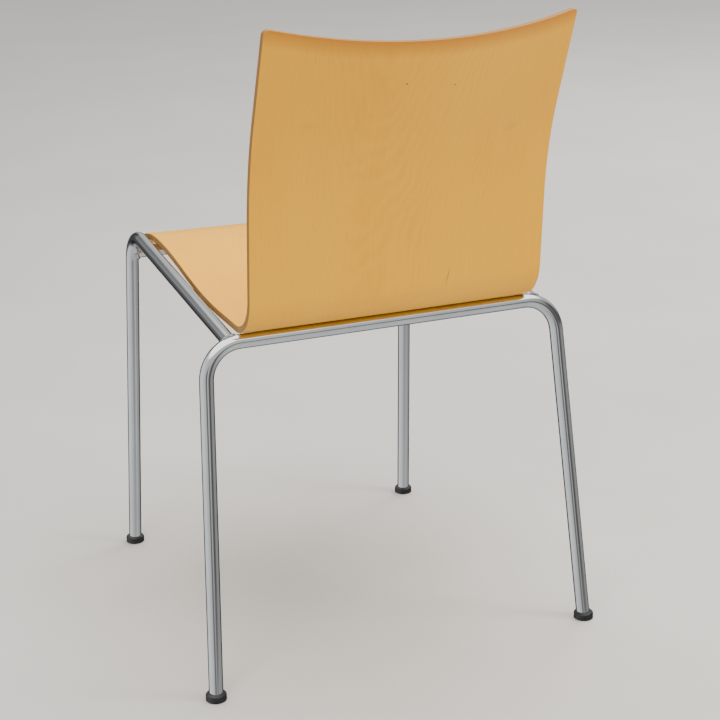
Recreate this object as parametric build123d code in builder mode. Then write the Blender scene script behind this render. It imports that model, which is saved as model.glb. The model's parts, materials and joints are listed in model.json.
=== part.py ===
"""Stacking chair: a moulded plywood shell on a welded frame of round chromed tube.

Millimetres, +Z up, the sitter faces -Y and the sitter's left is +X. The chair is drawn with Y = 0
at the centre of the bend between seat and back; the last step moves every piece along Y, so that
the origin lies on the floor under the middle of the whole chair.
"""
from build123d import *
from math import cos, radians, sin, sqrt
import os

# ---- Plywood shell: heights and lengths are those of its middle surface at the side edges --------
shell_width = 386.0
shell_thickness = 9.0
seat_height = 480.0              # at the crest, where the seat starts to roll over at the front
seat_depth = 320.0               # from the crest back to the centre of the bend
bend_radius = 48.5               # seat to back
bend_centre_rise = 17.0          # above the seat height
seat_rear_slope = 1.5            # degrees, rising towards the front, just ahead of the bend
seat_swell = 0.0                 # height of the side edges over a straight line, in front
seat_swell_share = 0.72          # of the way from the bend to the crest
seat_dip = 5.8                   # depth below the straight line, half way
seat_dip_share = 0.50
seat_rear_dip = 6.7              # depth below the straight line, ahead of the bend
seat_rear_dip_share = 0.26
front_curve_radius = 145.0       # the gentle fall from the crest to the lip
front_curve_turn = 18.0          # degrees
lip_radius = 24.0
lip_turn = 40.0                  # degrees that the lip rolls down after the gentle fall
back_lower_lean = 3.5            # degrees from upright, just above the bend
back_lower_length = 92.0
back_curve_radius = 450.0
back_upper_lean = 20.0           # degrees from upright, at the top
back_rise = 341.0                # top corners above the seat height
top_edge_dip = 22.0              # lowest point of the top edge below its corners
top_margin = 12.0                # the shell is moulded long and trimmed
seat_hollow = 2.0                # how far the middle of the seat hangs below its sides
bend_hollow = 0.5
back_hollow = 30.0               # how far the middle of the top bows rearwards
bow_delay = 20.0                 # from the bend up to where the bow begins
bow_power = 1.5                  # 1 is a steady growth of the bow, more is a late one
top_corner_radius = 7.0
lip_corner_radius = 16.0
station_count = 48               # sections of the shell, apart from the first

# ---- Frame tube ----------------------------------------------------------------------------------
tube_diameter = 18.0
tube_wall = 1.5
hoop_bend_radius = 45.0          # centre line, where the rear legs turn into the cross tube
side_bend_radius = 40.0          # centre line, where a front leg turns into its side rail

# ---- How the tubes lie against the shell and splay to the floor --------------------------------------
front_side_gap = 5.5             # between the shell's edge and a rail, at the front
rear_side_gap = 3.0              # the same at the rear
front_corner_rise = 1.5          # axis corner of leg and rail above the seat height
front_corner_ahead = 58.5        # axis corner of leg and rail ahead of the crest
front_leg_splay = 11.5           # sideways, foot to corner
front_leg_rake = 29.0            # forwards, foot to corner
rail_inset = 31.0                # from the corner of the rear hoop in to the rail's end
rear_leg_splay = 24.5
rear_leg_rake = 64.0
lip_clearance = 2.3              # shell lip to front cross tube
seat_gap = 0.1                   # film of lacquer between shell and steel
tube_contact_angle = 11.6        # rear cross tube behind the lowest point of the bend, degrees

# ---- Foot glides -----------------------------------------------------------------------------------
glide_diameter = 26.0
glide_height = 9.5
glide_edge_radius = 3.0
glide_base_chamfer = 0.75
glide_spigot_length = 24.0
glide_spigot_clearance = 0.05

# ---- Shell supports and fasteners --------------------------------------------------------------------
lug_thickness = 3.0
lug_width = 30.0
lug_reach = 56.0                 # from the rail's axis inwards
lug_corner_radius = 8.0
front_lug_share = 0.097          # of the shell's length, measured from the front lip
rear_lug_share = 0.295
screw_diameter = 6.0
screw_hole_clearance = 0.3
screw_thread_clearance = 0.05
screw_from_rail = 40.0           # rail axis to screw axis
screw_head_diameter = 10.5
screw_head_height = 3.3
screw_socket_across = 4.0
screw_socket_depth = 2.0
screw_tip_spare = 1.4            # screw tip to the far end of the insert
washer_diameter = 12.5
washer_thickness = 1.6
insert_diameter = 9.0
insert_sink = 0.8                # below the shell's underside
insert_hole_spare = 0.2
insert_cover = 1.0               # wood left over the blind hole

# ---- Welds -------------------------------------------------------------------------------------------
weld_leg = 2.0                   # width of the bead along the tube and up the face it meets
lug_weld_leg = 1.6

tube_radius = tube_diameter / 2
bore_radius = tube_radius - tube_wall
half_shell = shell_thickness / 2
half_width = shell_width / 2
insert_length = shell_thickness - insert_sink - insert_hole_spare - insert_cover
head_seat = lug_thickness + washer_thickness
screw_length = head_seat + insert_sink + insert_length - screw_tip_spare
clear_of_all = 2 * (seat_depth + back_rise + shell_width)   # longer than the chair is any way

# ---- Shell profile, from the front lip back and up -----------------------------------------------------
seat_rear = radians(seat_rear_slope)
lower_lean = radians(back_lower_lean)
upper_lean = radians(back_upper_lean)
crest = Vector(0, -seat_depth, seat_height)
bend_centre = Vector(0, 0, seat_height + bend_centre_rise)
bend_start = bend_centre + Vector(0, -sin(seat_rear), -cos(seat_rear)) * bend_radius
bend_end = bend_centre + Vector(0, cos(lower_lean), -sin(lower_lean)) * bend_radius
bend_half = (radians(90) - lower_lean - seat_rear) / 2
bend_middle = bend_centre + Vector(0, sin(bend_half), -cos(bend_half)) * bend_radius
back_straight_end = bend_end + Vector(0, sin(lower_lean), cos(lower_lean)) * back_lower_length
back_curve_centre = back_straight_end + Vector(0, cos(lower_lean), -sin(lower_lean)) * back_curve_radius
middle_lean = (lower_lean + upper_lean) / 2
back_curve_middle = back_curve_centre + Vector(0, -cos(middle_lean), sin(middle_lean)) * back_curve_radius
back_curve_end = back_curve_centre + Vector(0, -cos(upper_lean), sin(upper_lean)) * back_curve_radius
top_length = (seat_height + back_rise + top_margin - back_curve_end.Z) / cos(upper_lean)
back_top = back_curve_end + Vector(0, sin(upper_lean), cos(upper_lean)) * top_length


def turned(centre, radius, turn):
    """The point of a forward and downward curve at a turn past the crest, in degrees."""
    return centre + Vector(0, -sin(radians(turn)), cos(radians(turn))) * radius


lip_end_turn = front_curve_turn + lip_turn
front_curve_centre = crest - Vector(0, 0, front_curve_radius)
lip_start = turned(front_curve_centre, front_curve_radius, front_curve_turn)
lip_centre = turned(front_curve_centre, front_curve_radius - lip_radius, front_curve_turn)
lip_end = turned(lip_centre, lip_radius, lip_end_turn)
lip_outer_end = turned(lip_centre, lip_radius + half_shell, lip_end_turn)
lip_inner_end = turned(lip_centre, lip_radius - half_shell, lip_end_turn)
swell_point = bend_start + (crest - bend_start) * seat_swell_share + Vector(0, 0, seat_swell)
dip_point = bend_start + (crest - bend_start) * seat_dip_share - Vector(0, 0, seat_dip)
rear_dip_point = bend_start + (crest - bend_start) * seat_rear_dip_share - Vector(0, 0, seat_rear_dip)

with BuildLine() as shell_profile:
    lip = ThreePointArc(lip_end, turned(lip_centre, lip_radius, lip_end_turn - lip_turn / 2), lip_start)
    front_curve = ThreePointArc(
        lip_start, turned(front_curve_centre, front_curve_radius, front_curve_turn / 2), crest
    )
    seat = Spline(
        crest,
        swell_point,
        dip_point,
        rear_dip_point,
        bend_start,
        tangents=[(0, 1, 0), (0, cos(seat_rear), -sin(seat_rear))],
    )
    ThreePointArc(bend_start, bend_middle, bend_end)
    Line(bend_end, back_straight_end)
    back_curve = ThreePointArc(back_straight_end, back_curve_middle, back_curve_end)
    Line(back_curve_end, back_top)

profile = shell_profile.wire()
bend_start_share = (lip.length + front_curve.length + seat.length) / profile.length
bow_start_share = 1 - (top_length + back_curve.length + back_lower_length - bow_delay) / profile.length


def hollow_at(share):
    """How far the middle of the shell stands outside its edges, at a share of its length."""
    if share > bow_start_share:
        rise = (share - bow_start_share) / (1 - bow_start_share)
        return bend_hollow + (back_hollow - bend_hollow) * rise ** bow_power
    # The seat's hollow is full over its front half and fades out smoothly towards the bend.
    fade = min(max(2 * (1 - share / bend_start_share), 0), 1)
    return bend_hollow + (seat_hollow - bend_hollow) * fade * fade * (3 - 2 * fade)


def outward(share):
    """The direction from the sitter's side of the shell to its underside or back."""
    tangent = profile % share
    return Vector(0, tangent.Z, -tangent.Y)


# ---- Tube axes -----------------------------------------------------------------------------------------
contact_angle = radians(tube_contact_angle)
contact_distance = bend_radius + half_shell + bend_hollow + seat_gap + tube_radius
rear_cross = bend_centre + Vector(0, sin(contact_angle), -cos(contact_angle)) * contact_distance
rail_end_x = half_width + rear_side_gap + tube_radius
rear_corner_x = rail_end_x + rail_inset
front_corner_x = half_width + front_side_gap + tube_radius
front_corner_y = crest.Y - front_corner_ahead
front_corner_z = seat_height + front_corner_rise
front_foot_y = front_corner_y - front_leg_rake
cross_tube_z = lip_inner_end.Z - lip_clearance - tube_radius


def front_foot(side):
    return Vector(side * (front_corner_x + front_leg_splay), front_foot_y, 0)


def front_corner(side):
    return Vector(side * front_corner_x, front_corner_y, front_corner_z)


def rail_end(side):
    return Vector(side * rail_end_x, rear_cross.Y, rear_cross.Z)


def rear_foot(side):
    return Vector(side * (rear_corner_x + rear_leg_splay), rear_cross.Y + rear_leg_rake, 0)


def rear_corner(side):
    return Vector(side * rear_corner_x, rear_cross.Y, rear_cross.Z)


def plane_along(start, end):
    """The plane through start that looks towards end."""
    return Plane(origin=start, z_dir=(end - start).normalized())


def on_front_leg(side, height):
    """The point of a front leg's axis at a height."""
    foot = front_foot(side)
    return foot + (front_corner(side) - foot) * (height / front_corner_z)


def on_rail(side, y):
    """The point of a side rail's axis at a depth."""
    start = front_corner(side)
    return start + (rail_end(side) - start) * ((y - start.Y) / (rear_cross.Y - start.Y))


with BuildLine() as hoop_axis:
    FilletPolyline(rear_foot(1), rear_corner(1), rear_corner(-1), rear_foot(-1), radius=hoop_bend_radius)


def lug_plane(side, share):
    """The plane of a lug's upper face, at its screw; its normal points down, away from the shell."""
    edge = profile @ share
    rail_x = abs(on_rail(side, edge.Y).X)
    inner_x = rail_x - lug_reach
    sag = hollow_at(share) * (1 - (inner_x / half_width) ** 2)
    # Where the shell curves down ahead of the lug and behind it, the lug's edges touch it first.
    half_lug = lug_width / 2 / profile.length
    ahead = (profile @ (share - half_lug) - edge).dot(outward(share))
    behind = (profile @ (share + half_lug) - edge).dot(outward(share))
    drop = max(ahead, behind, 0)
    above_screw = Vector(side * (rail_x - screw_from_rail), edge.Y, edge.Z)
    origin = above_screw + outward(share) * (half_shell + sag + drop + seat_gap)
    return Plane(origin=origin, x_dir=(side, 0, 0), z_dir=outward(share))


sides = {"left": 1, "right": -1}
lug_shares = {"front": front_lug_share, "rear": rear_lug_share}
lug_planes = [lug_plane(side, share) for side in sides.values() for share in lug_shares.values()]


# ---- Plywood shell -------------------------------------------------------------------------------------
with BuildPart() as plywood_shell:
    for station in range(station_count + 1):
        share = station / station_count
        # The section's own Y points away from the sitter, so the middle bows that way.
        hollow = hollow_at(share)
        with BuildSketch(Plane(origin=profile @ share, x_dir=(1, 0, 0), z_dir=profile % share)):
            with BuildLine():
                inner = ThreePointArc(
                    (-half_width, -half_shell), (0, hollow - half_shell), (half_width, -half_shell)
                )
                outer = ThreePointArc(
                    (-half_width, half_shell), (0, hollow + half_shell), (half_width, half_shell)
                )
                Line(inner @ 0, outer @ 0)
                Line(inner @ 1, outer @ 1)
            make_face()
    loft()
    # Trim the moulded blank to its hollowed top edge, with rounded corners.
    top_z = seat_height + back_rise
    trim_start = top_z - 2 * top_edge_dip
    trim_height = shell_width
    trim_plane = Plane.XZ.offset(-clear_of_all / 2)
    with BuildSketch(trim_plane) as kept_top:
        with BuildLine():
            top_edge = ThreePointArc((-half_width, top_z), (0, top_z - top_edge_dip), (half_width, top_z))
            Polyline(top_edge @ 1, (half_width, trim_start), (-half_width, trim_start), top_edge @ 0)
        make_face()
        fillet(kept_top.vertices().group_by(Axis.Y)[-1], radius=top_corner_radius)
    with BuildSketch(trim_plane) as removed_top:
        with Locations((0, trim_start + trim_height / 2)):
            Rectangle(2 * shell_width, trim_height)
        add(kept_top.sketch_local, mode=Mode.SUBTRACT)
    extrude(removed_top.sketch, amount=clear_of_all, mode=Mode.SUBTRACT)
    # Round the front corners, seen from above.
    corner_x = half_width - lip_corner_radius
    corner_y = lip_outer_end.Y + lip_corner_radius
    with BuildSketch(Plane.XY.offset(lip_centre.Z - lip_radius)):
        with Locations((corner_x, corner_y), (-corner_x, corner_y)):
            Rectangle(2 * lip_corner_radius, 2 * lip_corner_radius)
        with Locations((0, corner_y)):
            Rectangle(2 * corner_x, 2 * lip_corner_radius, mode=Mode.SUBTRACT)
        with Locations((0, corner_y + lip_corner_radius / 2)):
            Rectangle(shell_width + lip_corner_radius, lip_corner_radius, mode=Mode.SUBTRACT)
        with Locations((corner_x, corner_y), (-corner_x, corner_y)):
            Circle(lip_corner_radius, mode=Mode.SUBTRACT)
    extrude(amount=3 * lip_radius, mode=Mode.SUBTRACT)
    # Blind holes for the threaded inserts.
    for plane in lug_planes:
        with BuildSketch(plane.offset(half_shell)):
            Circle(insert_diameter / 2)
        extrude(amount=-(half_shell + insert_sink + insert_length + insert_hole_spare), mode=Mode.SUBTRACT)


# ---- Tube sections and axes ------------------------------------------------------------------------
def disc(plane, radius):
    with BuildSketch(plane) as section:
        Circle(radius)
    return section.sketch


def tube_ring(plane):
    with BuildSketch(plane) as section:
        Circle(tube_radius)
        Circle(bore_radius, mode=Mode.SUBTRACT)
    return section.sketch


def side_axis(side):
    with BuildLine() as axis:
        FilletPolyline(front_foot(side), front_corner(side), rail_end(side), radius=side_bend_radius)
    return axis.wire()


def side_start(side):
    return plane_along(front_foot(side), front_corner(side))


hoop_start = plane_along(rear_foot(1), rear_corner(1))
hoop_path = hoop_axis.wire()
cross_left = on_front_leg(1, cross_tube_z)
cross_right = on_front_leg(-1, cross_tube_z)
cross_start = plane_along(cross_left, cross_right)
cross_length = (cross_right - cross_left).length


# ---- Rear hoop: both rear legs and the cross tube, bent from one tube ---------------------------
with BuildPart() as rear_hoop:
    sweep(sections=tube_ring(hoop_start), path=hoop_path)
    split(bisect_by=Plane.XY.offset(glide_height), keep=Keep.TOP)


# ---- Side frames: a front leg and a side rail, bent from one tube --------------------------------
def side_frame(side):
    with BuildPart() as frame:
        sweep(sections=tube_ring(side_start(side)), path=side_axis(side))
        split(bisect_by=Plane.XY.offset(glide_height), keep=Keep.TOP)
        # The rail's end is coped round the rear hoop.
        sweep(sections=disc(hoop_start, tube_radius), path=hoop_path, mode=Mode.SUBTRACT)
    return frame


# ---- Front cross tube, coped between the front legs ----------------------------------------------
with BuildPart() as front_cross_tube:
    extrude(tube_ring(cross_start), amount=cross_length)
    for side in sides.values():
        sweep(sections=disc(side_start(side), tube_radius), path=side_axis(side), mode=Mode.SUBTRACT)


# ---- Lugs: flat plates that carry the shell, cut to fit the side of the rails ----------------------
def seat_lug(side, share):
    plane = lug_plane(side, share)
    with BuildPart() as lug:
        with BuildSketch(plane) as outline:
            with Locations((screw_from_rail - lug_reach / 2, 0)):
                Rectangle(lug_reach, lug_width)
            fillet(outline.vertices().group_by(Axis.X)[0], radius=lug_corner_radius)
            Circle(screw_diameter / 2 + screw_hole_clearance, mode=Mode.SUBTRACT)
        extrude(amount=lug_thickness)
        sweep(sections=disc(side_start(side), tube_radius), path=side_axis(side), mode=Mode.SUBTRACT)
    return lug


# ---- Fasteners: screw, washer and threaded insert at each lug --------------------------------------
with BuildPart() as shell_screws:
    for plane in lug_planes:
        with BuildSketch(plane.offset(head_seat)):
            Circle(screw_head_diameter / 2)
        extrude(amount=screw_head_height)
        with BuildSketch(plane.offset(head_seat)):
            Circle(screw_diameter / 2 - screw_thread_clearance)
        extrude(amount=-screw_length)
        with BuildSketch(plane.offset(head_seat + screw_head_height)):
            RegularPolygon(screw_socket_across / 2, 6, major_radius=False)
        extrude(amount=-screw_socket_depth, mode=Mode.SUBTRACT)
    for plane in lug_planes:
        head_rim = (
            shell_screws.edges()
            .filter_by(GeomType.CIRCLE)
            .filter_by(lambda edge: abs(edge.radius - screw_head_diameter / 2) < screw_thread_clearance)
            .sort_by_distance(plane.offset(head_seat + screw_head_height).origin)[0]
        )
        fillet(head_rim, radius=screw_head_height / 2)

with BuildPart() as screw_washers:
    for plane in lug_planes:
        with BuildSketch(plane.offset(lug_thickness)):
            Circle(washer_diameter / 2)
            Circle(screw_diameter / 2 + screw_hole_clearance, mode=Mode.SUBTRACT)
        extrude(amount=washer_thickness)

with BuildPart() as threaded_inserts:
    for plane in lug_planes:
        with BuildSketch(plane.offset(-insert_sink)):
            Circle(insert_diameter / 2)
            Circle(screw_diameter / 2, mode=Mode.SUBTRACT)
        extrude(amount=-insert_length)


# ---- Welds -----------------------------------------------------------------------------------------
def rail_weld(side):
    """The bead round the joint of a side rail and the rear hoop."""
    with BuildPart() as bead:
        rail_section = disc(plane_along(rail_end(side), front_corner(side)), tube_radius + weld_leg)
        extrude(rail_section, amount=tube_diameter)
        sweep(sections=disc(hoop_start, tube_radius + weld_leg), path=hoop_path, mode=Mode.INTERSECT)
        sweep(sections=disc(hoop_start, tube_radius), path=hoop_path, mode=Mode.SUBTRACT)
        sweep(sections=disc(side_start(side), tube_radius), path=side_axis(side), mode=Mode.SUBTRACT)
    return bead


def cross_tube_weld(side):
    """The bead round the joint of the front cross tube and a front leg."""
    near, far = (cross_left, cross_right) if side > 0 else (cross_right, cross_left)
    with BuildPart() as bead:
        extrude(disc(plane_along(near, far), tube_radius + weld_leg), amount=tube_diameter)
        leg_section = disc(side_start(side), tube_radius + weld_leg)
        sweep(sections=leg_section, path=side_axis(side), mode=Mode.INTERSECT)
        sweep(sections=disc(side_start(side), tube_radius), path=side_axis(side), mode=Mode.SUBTRACT)
        extrude(disc(cross_start, tube_radius), amount=cross_length, mode=Mode.SUBTRACT)
    return bead


def lug_bead_start(side, share):
    """The plane across one end of the bead in the corner under a lug, where it meets the rail."""
    plane = lug_plane(side, share)
    rail = on_rail(side, (profile @ share).Y)
    below = lug_thickness - plane.to_local_coords(rail).Z
    bead_x = screw_from_rail - sqrt(tube_radius ** 2 - below ** 2) - lug_weld_leg / 3
    start = plane.from_local_coords(Vector(bead_x, -lug_width / 2, lug_thickness + lug_weld_leg / 2))
    return Plane(origin=start, x_dir=plane.x_dir, z_dir=plane.y_dir)


with BuildPart() as lug_welds:
    for side in sides.values():
        for share in lug_shares.values():
            extrude(disc(lug_bead_start(side, share), lug_weld_leg), amount=lug_width)
    for side in sides.values():
        sweep(sections=disc(side_start(side), tube_radius), path=side_axis(side), mode=Mode.SUBTRACT)
    for plane in lug_planes:
        with BuildSketch(plane):
            Rectangle(2 * lug_reach, 2 * lug_width)
        extrude(amount=lug_thickness, mode=Mode.SUBTRACT)


# ---- Foot glides: a flat foot with a plug that is pressed up into the leg ---------------------------
def foot_glide(foot, corner):
    axis = (corner - foot).normalized()
    plug_start = foot + axis * (glide_height / 2 / axis.Z)
    with BuildPart() as glide:
        with BuildSketch(Plane.XY):
            with Locations((foot.X, foot.Y)):
                Circle(glide_diameter / 2)
        extrude(amount=glide_height)
        fillet(glide.edges().group_by(Axis.Z)[-1], radius=glide_edge_radius)
        chamfer(glide.edges().group_by(Axis.Z)[0], length=glide_base_chamfer)
        with BuildSketch(Plane(origin=plug_start, z_dir=axis)):
            Circle(bore_radius - glide_spigot_clearance)
        extrude(amount=glide_spigot_length)
    return glide


# ---- Label the pieces, centre the chair on its origin and write it ------------------------------------
pieces = {
    "plywood_shell": plywood_shell,
    "rear_hoop": rear_hoop,
    "front_cross_tube": front_cross_tube,
    "shell_screws": shell_screws,
    "screw_washers": screw_washers,
    "threaded_inserts": threaded_inserts,
    "lug_welds": lug_welds,
}
for hand, side in sides.items():
    pieces[f"{hand}_side_frame"] = side_frame(side)
    pieces[f"{hand}_rail_weld"] = rail_weld(side)
    pieces[f"{hand}_cross_tube_weld"] = cross_tube_weld(side)
    pieces[f"front_{hand}_glide"] = foot_glide(front_foot(side), front_corner(side))
    pieces[f"rear_{hand}_glide"] = foot_glide(rear_foot(side), rear_corner(side))
    for end, share in lug_shares.items():
        pieces[f"{end}_{hand}_lug"] = seat_lug(side, share)

front_reach = front_foot_y - glide_diameter / 2
rear_reach = plywood_shell.part.bounding_box().max.Y
centring = Location((0, -(front_reach + rear_reach) / 2, 0))
os.makedirs("parts", exist_ok=True)
for name, piece in pieces.items():
    piece.part.label = name
    placed = piece.part.moved(centring)
    placed.label = name
    export_step(placed, f"parts/{name}.step")
print(f"Moved {centring.position.Y:.2f} mm along Y to centre the chair; {len(pieces)} pieces")
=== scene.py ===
"""Looks of the stacking chair: moulded plywood shell, chromed tube frame, welds, feet and fasteners.

Metres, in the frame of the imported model: +Z up, the sitter faces -Y, +X is the sitter's left.
"""

import json
from math import pi, radians

import bmesh
import bpy
import numpy as np
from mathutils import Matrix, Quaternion, Vector


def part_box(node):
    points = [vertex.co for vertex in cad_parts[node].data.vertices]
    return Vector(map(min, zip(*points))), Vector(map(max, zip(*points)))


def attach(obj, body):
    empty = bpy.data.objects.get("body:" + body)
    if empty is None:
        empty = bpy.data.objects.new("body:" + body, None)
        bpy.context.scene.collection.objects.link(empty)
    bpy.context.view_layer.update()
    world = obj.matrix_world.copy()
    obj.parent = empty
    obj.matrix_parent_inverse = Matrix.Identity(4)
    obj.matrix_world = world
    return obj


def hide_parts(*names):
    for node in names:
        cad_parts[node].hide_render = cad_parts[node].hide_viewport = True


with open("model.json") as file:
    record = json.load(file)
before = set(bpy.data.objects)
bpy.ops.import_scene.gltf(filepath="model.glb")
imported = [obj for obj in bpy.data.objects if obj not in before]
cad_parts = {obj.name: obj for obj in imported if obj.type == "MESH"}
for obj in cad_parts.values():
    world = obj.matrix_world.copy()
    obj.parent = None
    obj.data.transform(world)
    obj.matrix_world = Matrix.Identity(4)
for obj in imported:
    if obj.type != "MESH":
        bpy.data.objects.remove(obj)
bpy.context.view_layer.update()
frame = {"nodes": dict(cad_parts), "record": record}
nodes = frame["nodes"]

MM = 0.001


# ---- Node trees by short calls ---------------------------------------------------------------------
class Tree:
    """The nodes of one material or world."""

    def __init__(self, owner):
        owner.use_nodes = True
        self.owner = owner
        self.tree = owner.node_tree
        self.shader = self.tree.nodes.get("Principled BSDF")

    def feed(self, node, inputs):
        for key, value in inputs.items():
            socket = node.inputs[key]
            if isinstance(value, bpy.types.NodeSocket):
                self.tree.links.new(value, socket)
            else:
                socket.default_value = value

    def add(self, kind, inputs=None, **settings):
        node = self.tree.nodes.new("ShaderNode" + kind)
        for key, value in settings.items():
            setattr(node, key, value)
        self.feed(node, inputs or {})
        return node

    def set(self, **inputs):
        self.feed(self.shader, {key.replace("_", " "): value for key, value in inputs.items()})

    def math(self, operation, first, second=0.0, third=0.0, clamp=False):
        node = self.add("Math", {0: first, 1: second, 2: third}, operation=operation, use_clamp=clamp)
        return node.outputs[0]

    def scaled(self, vector, scale, offset=(0, 0, 0)):
        return self.add("Mapping", {"Vector": vector, "Scale": scale, "Location": offset}).outputs[0]

    def noise(self, vector, detail=2.0, roughness=0.5):
        inputs = {"Vector": vector, "Scale": 1.0, "Detail": detail, "Roughness": roughness}
        return self.add("TexNoise", inputs).outputs["Fac"]

    def ramp(self, value, *stops):
        """A value turned into a colour, or a grey, by (position, colour) stops."""
        node = self.add("ValToRGB", {"Fac": value})
        elements = node.color_ramp.elements
        while len(elements) < len(stops):
            elements.new(0.5)
        for element, (position, colour) in zip(elements, stops):
            element.position = position
            element.color = (*colour, 1) if isinstance(colour, tuple) else (colour, colour, colour, 1)
        return node.outputs["Color"]

    def mix(self, factor, first, second):
        node = self.add("Mix", data_type="RGBA")
        for socket, value in zip((node.inputs[0], node.inputs[6], node.inputs[7]), (factor, first, second)):
            if isinstance(value, bpy.types.NodeSocket):
                self.tree.links.new(value, socket)
            else:
                socket.default_value = (*value, 1) if isinstance(value, tuple) else value
        return node.outputs[2]

    def bump(self, height, distance, strength):
        inputs = {"Height": height, "Distance": distance, "Strength": strength}
        return self.add("Bump", inputs).outputs["Normal"]

    def place(self):
        return self.add("TexCoord").outputs["Object"]


def new_material(name):
    return Tree(bpy.data.materials.new(name))


def dress(piece, tree):
    piece.data.materials.clear()
    piece.data.materials.append(tree.owner)
    for polygon in piece.data.polygons:
        polygon.material_index = 0


# ---- Plywood: the shell's profile, the same as the CAD shell's ---------------------------------------
HALF_WIDTH = 193.0 * MM
HALF_THICK = 4.5 * MM
SEAT_HEIGHT = 480.0 * MM
SEAT_DEPTH = 320.0 * MM
BEND_RADIUS = 48.5 * MM
BEND_CENTRE_RISE = 17.0 * MM
SEAT_SLOPE = 1.5
SEAT_POINTS = ((0.72, 0.0), (0.50, -5.8 * MM), (0.26, -6.7 * MM))
FRONT_RADIUS = 145.0 * MM
FRONT_TURN = 18.0
LIP_RADIUS = 24.0 * MM
LIP_TURN = 40.0
LOWER_LEAN = 3.5
UPPER_LEAN = 20.0
LOWER_LENGTH = 92.0 * MM
BACK_CURVE_RADIUS = 450.0 * MM
TOP_Z = 821.0 * MM
TOP_DIP = 22.0 * MM
TOP_MARGIN = 12.0 * MM
SEAT_HOLLOW = 2.0 * MM
BEND_HOLLOW = 0.5 * MM
BACK_HOLLOW = 30.0 * MM
BOW_DELAY = 20.0 * MM
BOW_POWER = 1.5
TOP_CORNER = 7.0 * MM
LIP_CORNER_WIDE = 10.0 * MM
LIP_CORNER_LONG = 17.0 * MM
ARRIS = 0.8 * MM
PROFILE_STEP = 0.2 * MM
COLUMN_STEP = 7.5 * MM
LIP_SPAN = LIP_RADIUS * radians(LIP_TURN) + 6 * MM
BEND_SPAN = 78 * MM
TOP_SPAN = 30 * MM


def around(centre, radius, start, end):
    """Points (y, z) of an arc; angles in degrees from straight down, turning rearwards."""
    count = max(3, int(abs(radians(end - start)) * radius / PROFILE_STEP))
    turn = np.radians(np.linspace(start, end, count))
    return centre + radius * np.stack((np.sin(turn), -np.cos(turn)), axis=1)


def down(degrees):
    """The unit vector (y, z) at an angle from straight down, turning rearwards."""
    return np.array((np.sin(radians(degrees)), -np.cos(radians(degrees))))


def spline(points, start, end):
    """Points of the smooth cubic curve through points with the given end directions."""
    points = np.array(points)
    step = np.linalg.norm(np.diff(points, axis=0), axis=1)
    slope = np.diff(points, axis=0) / step[:, None]
    count = len(points)
    matrix = np.eye(count)
    target = np.zeros((count, 2))
    target[0] = start
    target[-1] = end
    for i in range(1, count - 1):
        matrix[i, i - 1 : i + 2] = step[i], 2 * (step[i - 1] + step[i]), step[i - 1]
        target[i] = 3 * (step[i] * slope[i - 1] + step[i - 1] * slope[i])
    speed = np.linalg.solve(matrix, target)
    runs = []
    for i in range(count - 1):
        t = np.linspace(0, 1, int(step[i] / PROFILE_STEP))[:, None]
        runs.append(
            (1 + 2 * t) * (1 - t) ** 2 * points[i]
            + t * (1 - t) ** 2 * step[i] * speed[i]
            + t * t * (3 - 2 * t) * points[i + 1]
            + t * t * (t - 1) * step[i] * speed[i + 1]
        )
    return np.concatenate(runs)


def make_profile():
    crest = np.array((-SEAT_DEPTH, SEAT_HEIGHT))
    bend_centre = np.array((0, SEAT_HEIGHT + BEND_CENTRE_RISE))
    bend = around(bend_centre, BEND_RADIUS, -SEAT_SLOPE, 90 - LOWER_LEAN)
    front_centre = crest - FRONT_RADIUS * down(180)
    front = around(front_centre, FRONT_RADIUS, 180 + FRONT_TURN, 180)
    lip_centre = front_centre + (FRONT_RADIUS - LIP_RADIUS) * down(180 + FRONT_TURN)
    lip = around(lip_centre, LIP_RADIUS, 180 + FRONT_TURN + LIP_TURN, 180 + FRONT_TURN)
    seat_points = [crest]
    for share, lift in SEAT_POINTS:
        seat_points.append(bend[0] + share * (crest - bend[0]) + np.array((0, lift)))
    seat_points.append(bend[0])
    seat = spline(seat_points, down(90), down(90 - SEAT_SLOPE))
    straight_end = bend[-1] + LOWER_LENGTH * down(180 - LOWER_LEAN)
    curve_centre = straight_end + BACK_CURVE_RADIUS * down(90 - LOWER_LEAN)
    curve = around(curve_centre, BACK_CURVE_RADIUS, -90 - LOWER_LEAN, -90 - UPPER_LEAN)
    top_length = (TOP_Z + TOP_MARGIN - curve[-1][1]) / np.cos(radians(UPPER_LEAN))
    top = curve[-1] + top_length * down(180 - UPPER_LEAN)
    points = np.concatenate((lip, front, seat, bend, [straight_end], curve, [top]))
    gaps = np.linalg.norm(np.diff(points, axis=0), axis=1)
    points = points[np.concatenate(([True], gaps > 1e-7))]
    run = np.concatenate(([0], np.cumsum(np.linalg.norm(np.diff(points, axis=0), axis=1))))
    # Resample evenly so that straight runs have directions as well.
    station = np.linspace(0, run[-1], int(run[-1] / PROFILE_STEP))
    even = np.stack((np.interp(station, run, points[:, 0]), np.interp(station, run, points[:, 1])), axis=1)
    way = np.gradient(even, station, axis=0)
    way /= np.linalg.norm(way, axis=1)[:, None]
    bend_start = run[np.argmin(np.linalg.norm(points - bend[0], axis=1))]
    bow_start = run[-1] - top_length - radians(UPPER_LEAN - LOWER_LEAN) * BACK_CURVE_RADIUS
    bow_start -= LOWER_LENGTH - BOW_DELAY
    return station, even, way, bend_start, bow_start


STATION, PROFILE, WAY, BEND_START, BOW_START = make_profile()
LENGTH = STATION[-1]


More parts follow.
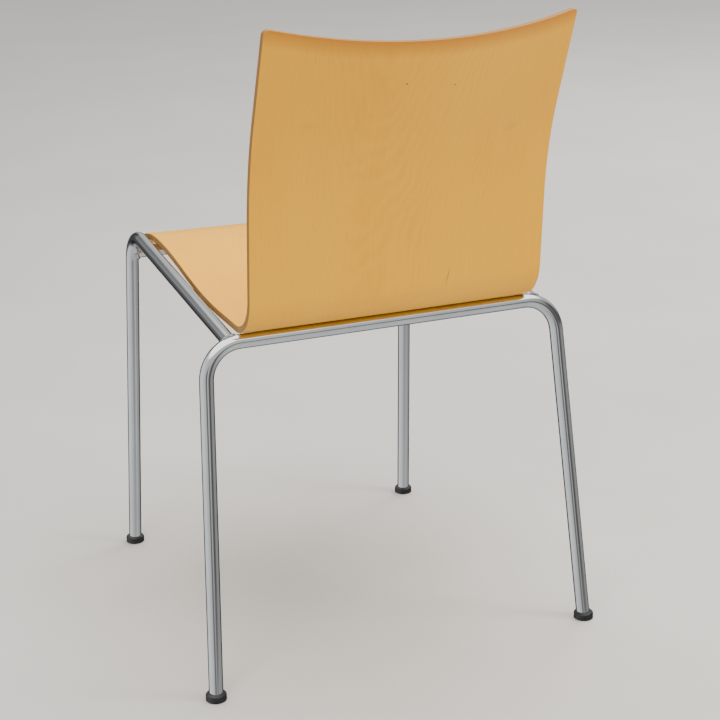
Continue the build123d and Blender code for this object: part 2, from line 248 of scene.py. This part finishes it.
def shell_point(x, s, w):
    """Points at x across, s along the profile from the lip and w out from the middle surface."""
    rise = np.clip((s - BOW_START) / (LENGTH - BOW_START), 0, 1)
    fade = np.clip(2 * (1 - s / BEND_START), 0, 1)
    hollow = BEND_HOLLOW + (SEAT_HOLLOW - BEND_HOLLOW) * fade * fade * (3 - 2 * fade)
    hollow = hollow + (BACK_HOLLOW - BEND_HOLLOW) * rise**BOW_POWER
    radius = (HALF_WIDTH**2 + hollow**2) / (2 * hollow)
    out = hollow - radius + np.sqrt(radius**2 - x**2) + w
    y = np.interp(s, STATION, PROFILE[:, 0]) + np.interp(s, STATION, WAY[:, 1]) * out
    z = np.interp(s, STATION, PROFILE[:, 1]) - np.interp(s, STATION, WAY[:, 0]) * out
    return np.stack((x + 0 * y, y, z), axis=-1)


def top_station(x, w):
    """Where the top edge lies along the profile."""
    radius = (HALF_WIDTH**2 + TOP_DIP**2) / (2 * TOP_DIP)
    height = TOP_Z - TOP_DIP + radius - np.sqrt(radius**2 - x**2)
    low, high = np.full_like(x, LENGTH / 2), np.full_like(x, LENGTH)
    for _ in range(40):
        middle = (low + high) / 2
        above = shell_point(x, middle, w)[..., 2] > height
        low, high = np.where(above, low, middle), np.where(above, middle, high)
    return (low + high) / 2


def outline(x, w):
    """The first and last station of the shell's face at x, one arris inside its edge."""
    side = HALF_WIDTH - ARRIS
    wide, long = LIP_CORNER_WIDE - ARRIS, LIP_CORNER_LONG - ARRIS
    into = np.clip((np.abs(x) - side + wide) / wide, 0, 1)
    first = ARRIS + long * (1 - np.sqrt(1 - into**2))
    last = top_station(x, w) - ARRIS
    radius = TOP_CORNER - ARRIS
    edge = top_station(np.array((side, side - MM)), w) - ARRIS
    slope = (edge[0] - edge[1]) / MM
    length = np.sqrt(1 + slope**2)
    centre = edge[0] - radius * (slope + length)
    over = np.clip(np.abs(x) - side + radius, -radius, radius)
    corner = centre + np.sqrt(radius**2 - over**2)
    last = np.where(np.abs(x) > side - radius * (1 + slope / length), corner, last)
    return first, last


def columns():
    """Places across the shell, close together where the corners turn."""
    side = HALF_WIDTH - ARRIS
    steps = np.radians(np.linspace(0, 90, 10))
    turns = [radius * (1 - np.cos(steps)) for radius in (TOP_CORNER - ARRIS, LIP_CORNER_WIDE - ARRIS)]
    inner = np.arange(LIP_CORNER_WIDE + 5 * MM, side, COLUMN_STEP)
    depth = np.unique(np.round(np.concatenate((*turns, inner)), 6))
    right = side - depth
    return np.concatenate((-right, right[::-1]))


def rows():
    """Shares of the way along the shell, close together where it curves tightly."""
    marks = (0, LIP_SPAN, BEND_START, BEND_START + BEND_SPAN, LENGTH - TOP_SPAN, LENGTH)
    steps = (2 * MM, 6 * MM, 2.5 * MM, 6 * MM, 2.5 * MM)
    runs = [
        np.linspace(start, end, int((end - start) / step), endpoint=False)
        for start, end, step in zip(marks, marks[1:], steps)
    ]
    return np.concatenate((*runs, [LENGTH])) / LENGTH


def shell_mesh():
    """Vertices and quads of the shell: two faces and an edge with rounded arrises between them."""
    x = columns()
    share = rows()[:, None]
    faces_xyz = []
    for w in (-HALF_THICK, HALF_THICK):
        first, last = outline(x, w)
        s = first + (last - first) * share
        grid = shell_point(np.broadcast_to(x, s.shape), s, w)
        across = np.gradient(grid, axis=1)
        along = np.gradient(grid, axis=0)
        normal = np.cross(across, along)
        faces_xyz.append((grid, normal / np.linalg.norm(normal, axis=-1, keepdims=True)))
    row_count, column_count = share.shape[0], len(x)
    index = np.arange(row_count * column_count).reshape(row_count, column_count)
    rim = np.concatenate((index[0, :-1], index[:-1, -1], index[-1, :0:-1], index[:0:-1, 0]))
    inner, outer = (grid.reshape(-1, 3) for grid, _ in faces_xyz)
    inner_normal, outer_normal = (normal.reshape(-1, 3) for _, normal in faces_xyz)

    def outwards(points, normals):
        way = np.roll(points[rim], -1, axis=0) - np.roll(points[rim], 1, axis=0)
        beside = np.cross(way, normals[rim])
        beside /= np.linalg.norm(beside, axis=1)[:, None]
        return beside if np.sum(beside * (points[rim] - points.mean(axis=0))) > 0 else -beside

    inner_out, outer_out = outwards(inner, inner_normal), outwards(outer, outer_normal)
    through = outer[rim] - inner[rim]
    through /= np.linalg.norm(through, axis=1)[:, None]
    rings = []
    turns = np.radians((22.5, 45, 67.5, 90))
    for turn in turns:
        rings.append(inner[rim] + ARRIS * (np.sin(turn) * inner_out + (1 - np.cos(turn)) * through))
    start = rings[-1]
    end = outer[rim] + ARRIS * (outer_out - through)
    for part in np.linspace(0, 1, 7)[1:-1]:
        rings.append(start + part * (end - start))
    for turn in turns[::-1]:
        rings.append(outer[rim] + ARRIS * (np.sin(turn) * outer_out - (1 - np.cos(turn)) * through))
    base = len(inner)
    vertices = np.concatenate((inner, outer, *rings))
    quads = []
    a, b, c, d = index[:-1, :-1], index[:-1, 1:], index[1:, 1:], index[1:, :-1]
    grid_quads = np.stack((a, b, c, d), axis=-1).reshape(-1, 4)
    quads.append(grid_quads)
    quads.append(grid_quads[:, ::-1] + base)
    loops = [rim] + [2 * base + len(rim) * i + np.arange(len(rim)) for i in range(len(rings))] + [rim + base]
    for near, far in zip(loops, loops[1:]):
        quads.append(np.stack((near, far, np.roll(far, -1), np.roll(near, -1)), axis=-1))
    return vertices, np.concatenate(quads)


def shell_coordinates(points):
    """For each point, x across, s along the profile and w out from the middle surface."""
    every = slice(None, None, 5)
    result = np.zeros_like(points)
    for i, (x, y, z) in enumerate(points):
        line = shell_point(np.full(len(STATION[every]), x), STATION[every], 0.0)
        gap = (line[:, 1] - y) ** 2 + (line[:, 2] - z) ** 2
        best = int(np.argmin(gap))
        way = WAY[every][best]
        offset = np.array((y, z)) - line[best, 1:]
        s = STATION[every][best] + offset @ way
        result[i] = x, s, offset @ np.array((way[1], -way[0]))
    return result


shell_vertices, shell_quads = shell_mesh()
grain = shell_coordinates(shell_vertices)
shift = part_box("plywood_shell")[0][1] - shell_vertices[:, 1].min()
shell_vertices[:, 1] += shift
shell_data = bpy.data.meshes.new("shell")
shell_data.from_pydata(shell_vertices.tolist(), [], shell_quads.tolist())
attribute = shell_data.attributes.new("grain", "FLOAT_VECTOR", "POINT")
attribute.data.foreach_set("vector", grain.astype(np.float32).ravel())
shell_data.shade_smooth()
shell = bpy.data.objects.new("shell", shell_data)
bpy.context.scene.collection.objects.link(shell)
mesh_edit = bmesh.new()
mesh_edit.from_mesh(shell_data)
bmesh.ops.recalc_face_normals(mesh_edit, faces=mesh_edit.faces)
mesh_edit.to_mesh(shell_data)
mesh_edit.free()
weighted = shell.modifiers.new("weighted normals", "WEIGHTED_NORMAL")
weighted.keep_sharp = False
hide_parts("plywood_shell")
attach(shell, "root")


# ---- Plywood: veneer and bare plies ------------------------------------------------------------------
PLY_COUNT = 7
FIGURE_CENTRE = 62 * MM
FIGURE_STEEP = 70.0              # how sharply the arches rise on the left, per metre
FIGURE_GENTLE = 21.0             # and on the right
FIGURE_WANDER = 0.30
FIGURE_TURNS = 165.0             # radians of the figure's waves per metre along the shell
TOP_SHADE_FADE = 20.0            # one over the depth in metres that the painted shade below the top edge spans
# Place across and along the shell, half sizes, lean, hard share of the spot, strength and colour.
MARKS = (
    (0.022, 0.726, 0.0016, 0.0016, 0.0, 0.5, 0.85, (0.10, 0.04, 0.01)),
    (-0.040, 0.719, 0.0014, 0.0014, 0.0, 0.5, 0.85, (0.10, 0.04, 0.01)),
    (-0.064, 0.460, 0.0011, 0.0140, 0.257, 0.3, 0.60, (0.22, 0.09, 0.01)),
    (-0.132, 0.648, 0.0140, 0.0090, 0.8, 0.0, 0.20, (0.34, 0.24, 0.12)),
    (0.130, 0.676, 0.0130, 0.0060, 0.0, 0.0, 0.16, (0.34, 0.24, 0.12)),
)


def plywood_material():
    t = new_material("plywood")
    grain = t.add("Attribute", attribute_name="grain").outputs["Vector"]
    parts = t.add("SeparateXYZ", {"Vector": grain}).outputs
    x, s, w = parts["X"], parts["Y"], parts["Z"]
    # The grain wanders a little sideways on its way up.
    sway = t.noise(t.scaled(grain, (5, 2.2, 1)), detail=1)
    sway = t.math("MULTIPLY_ADD", sway, 0.012, -0.006)
    bent_x = t.math("ADD", x, sway)
    bent = t.add("CombineXYZ", {"X": bent_x, "Y": s, "Z": w}).outputs[0]
    # Broad figure: nested narrow arches that open upwards, as on peeled veneer.
    aside = t.math("ADD", bent_x, -FIGURE_CENTRE)
    steep, gentle = t.math("MAXIMUM", aside, 0.0), t.math("MINIMUM", aside, 0.0)
    arch = t.math("MULTIPLY_ADD", t.math("MULTIPLY", steep, steep), -FIGURE_STEEP, s)
    arch = t.math("MULTIPLY_ADD", t.math("MULTIPLY", gentle, gentle), -FIGURE_GENTLE, arch)
    wander = t.noise(t.scaled(grain, (9, 4, 1)), detail=5, roughness=0.6)
    arch = t.math("MULTIPLY_ADD", wander, FIGURE_WANDER, arch)
    figure = t.math("MULTIPLY_ADD", t.math("SINE", t.math("MULTIPLY", arch, FIGURE_TURNS)), 0.5, 0.5)
    figure = t.math("MULTIPLY", figure, t.noise(t.scaled(grain, (14, 6, 1), (7, 3, 0)), detail=2))
    cloud = t.noise(t.scaled(grain, (8, 3, 1), (3, 1, 0)), detail=3)
    streak = t.noise(t.scaled(bent, (420, 7, 1)), detail=4, roughness=0.65)
    fibre = t.noise(t.scaled(bent, (1500, 45, 1)), detail=2)
    fleck = t.noise(t.scaled(bent, (1900, 170, 1)), detail=1)
    fleck = t.ramp(fleck, (0.66, 0.0), (0.78, 1.0))
    tone = t.math("MULTIPLY", figure, 0.17)
    tone = t.math("MULTIPLY_ADD", cloud, 0.42, tone)
    tone = t.math("MULTIPLY_ADD", streak, 0.34, tone)
    tone = t.math("MULTIPLY_ADD", fibre, 0.18, tone)
    light, middle, dark = (0.93, 0.475, 0.020), (0.86, 0.395, 0.008), (0.70, 0.295, 0.004)
    face = t.ramp(tone, (0.22, light), (0.55, middle), (0.90, dark))
    face = t.mix(t.math("MULTIPLY", fleck, 0.34), face, (0.42, 0.18, 0.02))
    # Marks of use on the back: two pin holes, a scratch and two dull smudges. Then painted shade: the veneer
    # darkens towards the top edge.
    rear = t.math("GREATER_THAN", w, 0.0)
    for mark_x, mark_s, wide, long, lean, edge, strength, shade in MARKS:
        upright = t.math("MULTIPLY_ADD", t.math("SUBTRACT", s, mark_s), lean, x)
        mark = t.add("CombineXYZ", {"X": upright, "Y": s}).outputs[0]
        mark = t.scaled(mark, (1 / wide, 1 / long, 1), (-mark_x / wide, -mark_s / long, 0))
        reach = t.add("VectorMath", {0: mark}, operation="LENGTH").outputs["Value"]
        spot = t.ramp(t.math("MULTIPLY", reach, 0.5), (edge / 2, 1.0), (0.5, 0.0))
        spot = t.math("MULTIPLY", t.math("MULTIPLY", spot, rear), strength)
        face = t.mix(spot, face, shade)
    # Painted shade: the veneer is darkened over about 2 cm below the top edge, where light falls less.
    height = t.add("SeparateXYZ", {"Vector": t.place()}).outputs["Z"]
    top_shade_depth = t.math("MULTIPLY_ADD", t.math("MULTIPLY", x, x), TOP_DIP / HALF_WIDTH**2, TOP_Z - TOP_DIP)
    top_shade_depth = t.math("MULTIPLY", t.math("SUBTRACT", top_shade_depth, height), TOP_SHADE_FADE)
    face = t.mix(t.ramp(top_shade_depth, (0.0, 0.95), (0.42, 0.0)), face, (0.58, 0.20, 0.006))
    # Edge: plies of crossing grain with thin dark glue lines between them.
    depth = t.math("DIVIDE", t.math("ADD", w, HALF_THICK), 2 * HALF_THICK / PLY_COUNT)
    in_ply = t.math("FRACT", depth)
    odd = t.math("GREATER_THAN", t.math("FRACT", t.math("MULTIPLY", t.math("FLOOR", depth), 0.5)), 0.25)
    speck = t.noise(t.scaled(grain, (700, 700, 1400)), detail=2)
    long_ply = t.ramp(speck, (0.3, (0.50, 0.27, 0.075)), (0.75, (0.40, 0.20, 0.05)))
    cross_ply = t.ramp(speck, (0.3, (0.33, 0.16, 0.042)), (0.75, (0.24, 0.11, 0.026)))
    ply = t.mix(odd, long_ply, cross_ply)
    seam = t.math("LESS_THAN", t.math("ABSOLUTE", t.math("SUBTRACT", in_ply, 0.5)), 0.44)
    ply = t.mix(seam, (0.15, 0.07, 0.02), ply)
    at_edge = t.math("LESS_THAN", t.math("ABSOLUTE", w), HALF_THICK - 0.55 * MM)
    colour = t.mix(at_edge, face, ply)
    rough = t.math("MULTIPLY_ADD", t.noise(t.scaled(grain, (30, 12, 1)), detail=3), 0.12, 0.34)
    relief = t.math("ADD", t.math("MULTIPLY", streak, 0.5), t.math("MULTIPLY", fibre, 0.5))
    relief = t.math("SUBTRACT", relief, t.math("MULTIPLY", fleck, 0.4))
    t.set(Base_Color=colour, Roughness=rough, Normal=t.bump(relief, 0.05 * MM, 0.5))
    t.set(Coat_Weight=0.12, Coat_Roughness=0.22, Specular_IOR_Level=0.3)
    return t


dress(shell, plywood_material())


# ---- Metals and plastic ------------------------------------------------------------------------------
def metal(name, colour, dull, bright_rough, dull_rough, scratch):
    t = new_material(name)
    place = t.place()
    haze = t.noise(t.scaled(place, (9, 9, 5)), detail=4, roughness=0.6)
    smear = t.ramp(haze, (0.42, 0.0), (0.72, 1.0))
    t.set(Base_Color=t.mix(smear, colour, dull), Metallic=1.0)
    lines = t.noise(t.scaled(place, (900, 900, 60)), detail=3, roughness=0.7)
    rough = t.math("MULTIPLY_ADD", smear, dull_rough - bright_rough, bright_rough)
    rough = t.math("MULTIPLY_ADD", lines, 0.05, rough)
    t.set(Roughness=rough, Normal=t.bump(lines, scratch, 0.35))
    return t


chrome = metal("chrome", (0.66, 0.67, 0.68), (0.58, 0.585, 0.59), 0.07, 0.17, 0.01 * MM)
bead = metal("weld_bead", (0.60, 0.60, 0.60), (0.42, 0.41, 0.40), 0.16, 0.32, 0.06 * MM)
zinc = metal("zinc_steel", (0.50, 0.52, 0.55), (0.36, 0.37, 0.38), 0.22, 0.42, 0.03 * MM)
brass = metal("brass", (0.62, 0.42, 0.15), (0.42, 0.27, 0.09), 0.2, 0.38, 0.03 * MM)


def plastic_material():
    t = new_material("black_plastic")
    place = t.place()
    dust = t.ramp(t.noise(t.scaled(place, (160, 160, 260)), detail=4), (0.5, 0.0), (0.75, 1.0))
    low = t.add("SeparateXYZ", {"Vector": place}).outputs["Z"]
    low = t.math("SUBTRACT", 1.0, t.math("MULTIPLY", low, 330.0), clamp=True)
    dust = t.math("MULTIPLY", dust, t.math("MULTIPLY_ADD", low, 0.5, 0.25))
    t.set(Base_Color=t.mix(dust, (0.006, 0.006, 0.007), (0.045, 0.043, 0.04)))
    grit = t.noise(t.scaled(place, (1500, 1500, 1500)), detail=2)
    t.set(Roughness=t.math("MULTIPLY_ADD", grit, 0.15, 0.36), Normal=t.bump(grit, 0.03 * MM, 0.6))
    return t


plastic = plastic_material()


def ripples(name, pitch, depth, straight=False):
    """A weld bead with the fine scales that a welder leaves, in place of the plain one."""
    data = nodes[name].data.copy()
    edit = bmesh.new()
    edit.from_mesh(data)
    bmesh.ops.remove_doubles(edit, verts=edit.verts, dist=0.002 * MM)
    for longest in (8, 4, 2, 1):
        coarse = [edge for edge in edit.edges if edge.calc_length() > longest * MM]
        bmesh.ops.subdivide_edges(edit, edges=coarse, cuts=1)
        bmesh.ops.triangulate(edit, faces=edit.faces)
    edit.normal_update()
    points = np.array([vertex.co for vertex in edit.verts])
    if straight:
        phase = points[:, 1] / pitch
    else:
        centred = points - points.mean(axis=0)
        _, _, axes = np.linalg.svd(centred, full_matrices=False)
        angle = np.arctan2(centred @ axes[1], centred @ axes[0])
        scales = round(2 * pi * np.linalg.norm(centred, axis=1).mean() / pitch)
        phase = angle * scales / (2 * pi)
    # Each scale rises slowly and ends in a short step.
    sunk = depth * (1 - (phase % 1) ** 0.6)
    for vertex, amount in zip(edit.verts, sunk):
        vertex.co -= vertex.normal * float(amount)
    edit.to_mesh(data)
    edit.free()
    data.shade_smooth()
    piece = bpy.data.objects.new("rippled_" + name, data)
    bpy.context.scene.collection.objects.link(piece)
    dress(piece, bead)
    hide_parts(name)
    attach(piece, "root")


finish_of = {
    "chrome": chrome,
    "weld_bead": bead,
    "zinc_steel": zinc,
    "brass": brass,
    "black_plastic": plastic,
}
slot_of = {entry["node"]: entry["material_slot"] for entry in frame["record"]["subparts"]}
for name, node in nodes.items():
    if name != "plywood_shell":
        dress(node, finish_of[slot_of[name]])
TUBE_RIPPLE_PITCH, TUBE_RIPPLE_DEPTH = 1.3 * MM, 0.16 * MM
LUG_RIPPLE_PITCH, LUG_RIPPLE_DEPTH = 1.2 * MM, 0.14 * MM
for side in ("left", "right"):
    ripples(f"{side}_rail_weld", TUBE_RIPPLE_PITCH, TUBE_RIPPLE_DEPTH)
    ripples(f"{side}_cross_tube_weld", TUBE_RIPPLE_PITCH, TUBE_RIPPLE_DEPTH)
ripples("lug_welds", LUG_RIPPLE_PITCH, LUG_RIPPLE_DEPTH, straight=True)


# ---- Floor, light and camera --------------------------------------------------------------------------
floor_data = bpy.data.meshes.new("floor")
floor_edit = bmesh.new()
bmesh.ops.create_circle(floor_edit, cap_ends=True, segments=96, radius=16)
floor_edit.to_mesh(floor_data)
floor_edit.free()
floor = bpy.data.objects.new("floor", floor_data)
bpy.context.scene.collection.objects.link(floor)
floor.visible_glossy = False
ground = new_material("floor")
mottle = ground.noise(ground.scaled(ground.place(), (3, 3, 3)), detail=4)
pale = ground.ramp(mottle, (0.3, (0.60, 0.58, 0.54)), (0.7, (0.64, 0.62, 0.58)))
ground.set(Base_Color=pale, Roughness=0.45)
floor_data.materials.append(ground.owner)

world = Tree(bpy.data.worlds.new("studio"))
bpy.context.scene.world = world.owner
direction = world.add("TexCoord").outputs["Generated"]


def toward(way):
    """From 0 where directions point away from way to 1 where they point along it."""
    along = world.add("VectorMath", {0: direction, 1: way}, operation="DOT_PRODUCT").outputs["Value"]
    return world.math("MULTIPLY_ADD", along, 0.5, 0.5)


def both(first, *others):
    for other in others:
        first = world.math("MULTIPLY", first, other)
    return first


# Only reflections see this room, fixed in the chair's frame: light walls, a bright ceiling, dim areas
# in front of the chair and behind it. The directions are those of the main view. All other rays see
# an even pale room, and reflections see neither the floor nor the lamps.
TO_MAIN_VIEW = (0.40, 0.9165, 0)
TO_ITS_RIGHT = (-0.9165, 0.40, 0)
near, right, high = toward(TO_MAIN_VIEW), toward(TO_ITS_RIGHT), toward((0, 0, 1))
front = world.ramp(near, (0.12, 1.0), (0.40, 0.0))
aside = world.math("ABSOLUTE", world.math("SUBTRACT", right, 0.52))
room = world.mix(world.ramp(right, (0.03, 1.0), (0.30, 0.0)), (0.60, 0.61, 0.61), (0.86, 0.87, 0.88))
room = world.mix(world.ramp(right, (0.85, 0.0), (0.97, 1.0)), room, (0.30, 0.30, 0.30))
behind = both(
    world.ramp(aside, (0.05, 1.0), (0.14, 0.0)),
    world.ramp(near, (0.65, 0.0), (0.80, 1.0)),
    world.ramp(high, (0.27, 0.25), (0.36, 0.85), (0.56, 1.0), (0.66, 0.0)),
)
shade = both(
    world.ramp(right, (0.52, 0.0), (0.58, 1.0), (0.74, 1.0), (0.84, 0.0)),
    world.ramp(near, (0.60, 0.0), (0.72, 1.0)),
    world.ramp(high, (0.20, 0.0), (0.27, 1.0), (0.40, 1.0), (0.46, 0.0)),
)
room = world.mix(shade, room, (0.38, 0.38, 0.385))
room = world.mix(behind, room, (0.10, 0.10, 0.105))
skirting = both(
    world.ramp(right, (0.70, 0.0), (0.76, 1.0), (0.93, 1.0), (0.97, 0.0)),
    world.ramp(near, (0.55, 0.0), (0.70, 1.0)),
    world.ramp(high, (0.355, 0.0), (0.385, 1.0), (0.54, 1.0), (0.575, 0.0)),
)
room = world.mix(skirting, room, (0.10, 0.095, 0.09))
corner = both(
    world.ramp(right, (0.93, 0.0), (0.97, 1.0)),
    world.ramp(high, (0.46, 0.0), (0.50, 1.0), (0.70, 1.0), (0.76, 0.0)),
)
room = world.mix(corner, room, (0.09, 0.09, 0.09))
low = both(front, world.ramp(high, (0.52, 1.0), (0.60, 0.0)))
room = world.mix(low, room, (0.032, 0.032, 0.035))
tall = both(
    front,
    world.ramp(high, (0.765, 1.0), (0.80, 0.0)),
    world.ramp(right, (0.31, 1.0), (0.39, 0.0)),
)
room = world.mix(tall, room, (0.058, 0.059, 0.062))
ground_shade = both(front, world.ramp(high, (0.31, 1.0), (0.38, 0.0)))
room = world.mix(ground_shade, room, (0.02, 0.02, 0.022))
room = world.mix(world.ramp(high, (0.79, 0.0), (0.85, 1.0)), room, (2.2, 2.2, 2.17))
mirrored = world.add("LightPath").outputs["Is Glossy Ray"]
background = world.tree.nodes["Background"]
EVEN_ROOM = (0.52, 0.52, 0.515)
world.feed(background, {"Color": world.mix(mirrored, EVEN_ROOM, room), "Strength": 1.3})

LAMP_COLOUR = (1, 0.985, 0.96)


def softbox(name, place, target, wide, high, power):
    lamp = bpy.data.lights.new(name, "AREA")
    lamp.shape = "RECTANGLE"
    lamp.size = wide
    lamp.size_y = high
    lamp.energy = power
    lamp.color = LAMP_COLOUR
    holder = bpy.data.objects.new(name, lamp)
    holder.location = place
    holder.rotation_euler = (Vector(target) - Vector(place)).to_track_quat("-Z", "Y").to_euler()
    holder.visible_glossy = False
    bpy.context.scene.collection.objects.link(holder)


softbox("ceiling", (-0.4, 0.2, 3.2), (-0.4, 0, 0), 2.6, 2.6, 114)
softbox("key", (2.2, 2.0, 2.3), (0, 0.1, 0.5), 1.3, 1.6, 42)
softbox("side", (-2.6, 1.6, 1.7), (0, 0.1, 0.4), 0.9, 1.8, 50)
softbox("far", (-2.9, -1.9, 2.6), (-2.7, -2.6, 0), 1.8, 1.8, 85)

CAMERA_PLACE = (0.8415, 2.0014, 1.0908)
CAMERA_LOOK = (-0.3779, -0.8657, -0.3283)
CAMERA_ROLL = -0.44
CAMERA_LENS = 86.27
CAMERA_SHIFT = -0.0028
camera_data = bpy.data.cameras.new("camera")
camera_data.sensor_width = 36
camera_data.lens = CAMERA_LENS
camera_data.shift_x = CAMERA_SHIFT
camera = bpy.data.objects.new("camera", camera_data)
camera.location = CAMERA_PLACE
turn = Vector(CAMERA_LOOK).to_track_quat("-Z", "Y") @ Quaternion((0, 0, 1), radians(CAMERA_ROLL))
camera.rotation_mode = "QUATERNION"
camera.rotation_quaternion = turn
bpy.context.scene.collection.objects.link(camera)
bpy.context.scene.camera = camera
